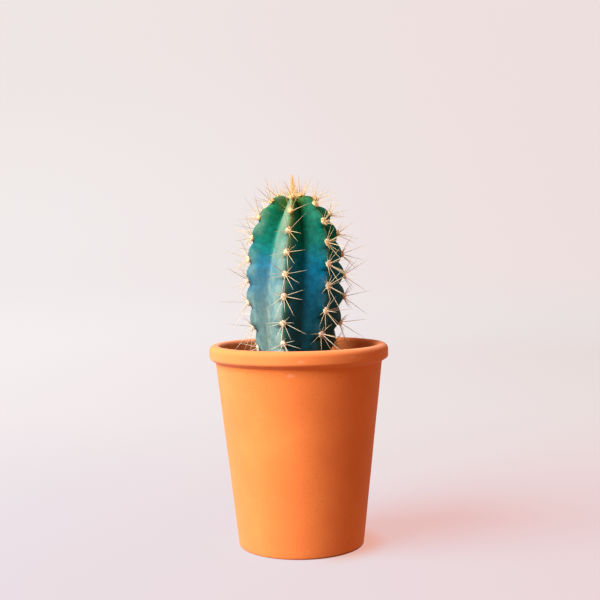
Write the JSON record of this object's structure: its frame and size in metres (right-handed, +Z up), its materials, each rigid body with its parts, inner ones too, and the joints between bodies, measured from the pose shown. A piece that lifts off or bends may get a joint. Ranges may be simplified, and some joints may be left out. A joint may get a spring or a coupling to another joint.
{
  "type": "potted cactus",
  "caption": "Short column cactus with deep scalloped ribs and woolly spine clusters, growing in a round tapered terracotta pot with a rolled rim.",
  "frame": {"origin": "centre of the pot's foot, on the surface it stands on", "axes": "+Z up along the pot's axis; the side in the picture faces -Y"},
  "size_m": [0.08, 0.08, 0.1656],
  "materials": {
    "terracotta": "matte",
    "potting_mix": "matte",
    "cactus_skin": "satin"
  },
  "bodies": {
    "root": {"pot": "terracotta", "soil": "potting_mix", "cactus": "cactus_skin"}
  },
  "joints": []
}
